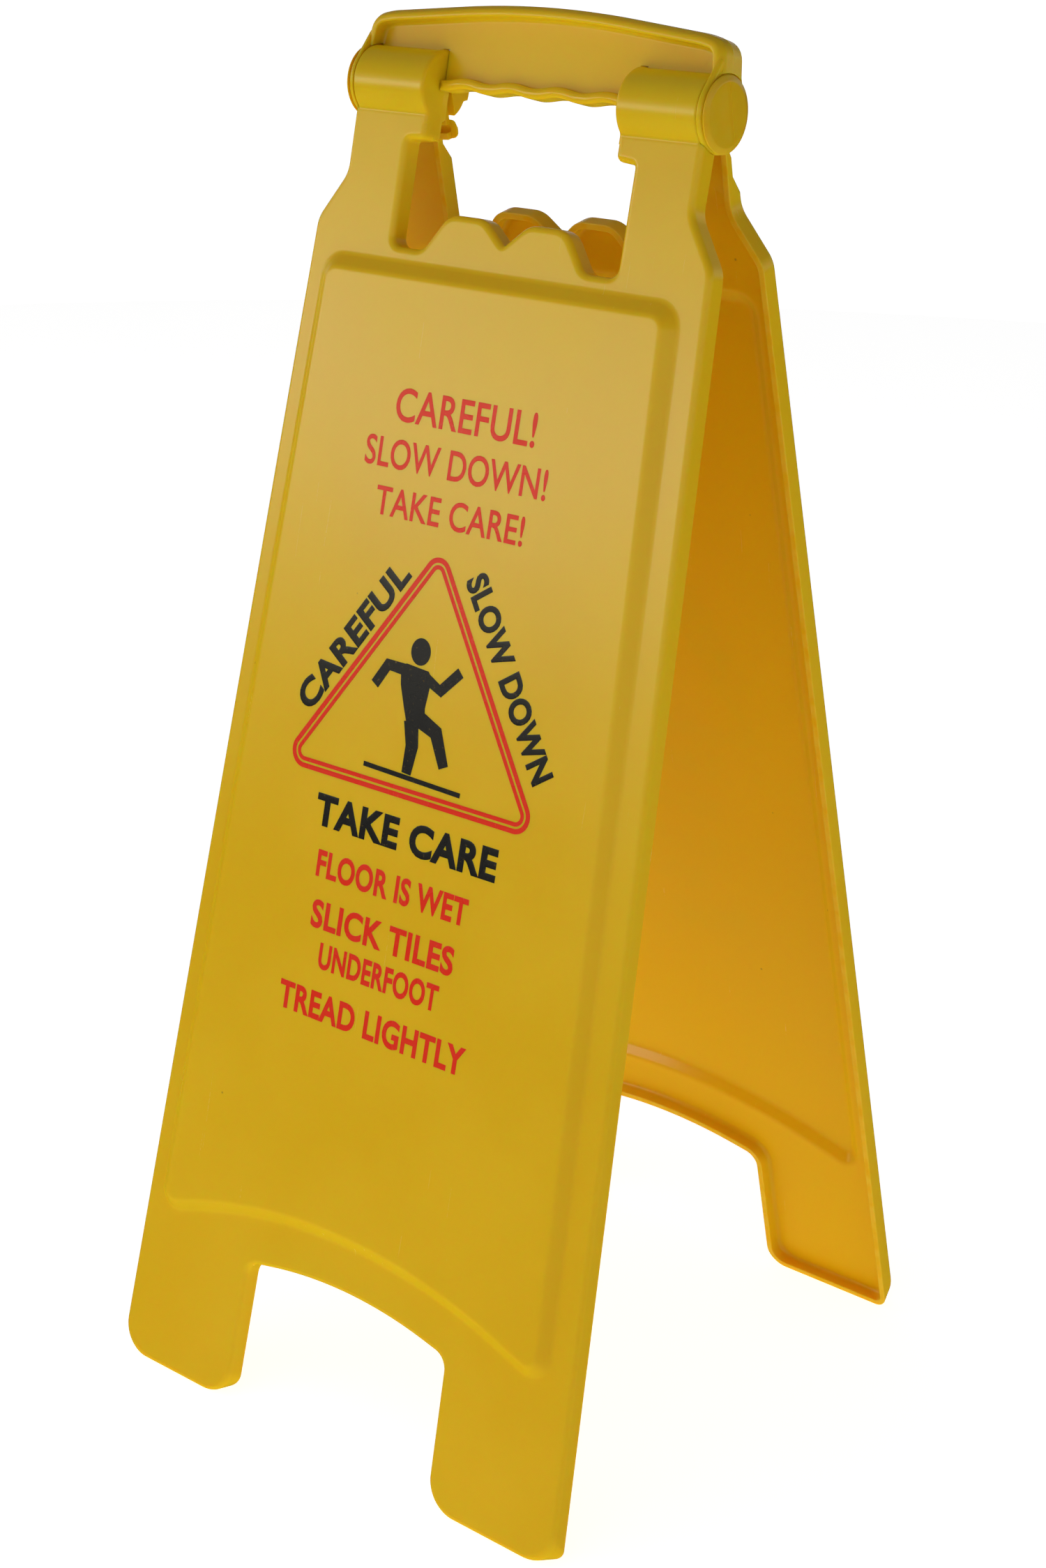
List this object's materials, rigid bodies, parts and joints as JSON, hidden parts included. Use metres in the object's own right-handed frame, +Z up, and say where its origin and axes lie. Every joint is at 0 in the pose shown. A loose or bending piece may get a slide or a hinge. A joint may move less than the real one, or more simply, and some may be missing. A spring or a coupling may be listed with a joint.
{
  "type": "folding floor warning sign",
  "caption": "Two-panel folding floor sign in yellow plastic with a top hinge, a swinging carrying handle, raised centre fields and cut-out feet.",
  "frame": {"origin": "centre of the footprint on the floor, with the sign standing open", "axes": "+X along the hinge, -Y out of the front panel's printed face, +Z up"},
  "size_m": [0.272, 0.289, 0.6429],
  "materials": {
    "panel_plastic": "satin-gloss moulded polypropylene, warm yellow",
    "handle_plastic": "satin-gloss moulded polypropylene, warm yellow",
    "pin_plastic": "satin-gloss moulded polypropylene, warm yellow"
  },
  "bodies": {
    "front": {"front_panel": "panel_plastic"},
    "back": {"back_panel": "panel_plastic", "hinge_pin_left": "pin_plastic", "hinge_pin_right": "pin_plastic"},
    "handle": {"handle": "handle_plastic"}
  },
  "joints": [
    {"name": "panel_fold", "type": "hinge", "parent": "front", "child": "back", "pos_m": [0, 0, 0.60558], "axis": [-1, 0, 0], "range_deg": [0, 25]},
    {"name": "handle_swing", "type": "hinge", "parent": "front", "child": "handle", "pos_m": [0, 0, 0.60558], "axis": [1, 0, 0], "range_deg": [0, 12]}
  ]
}
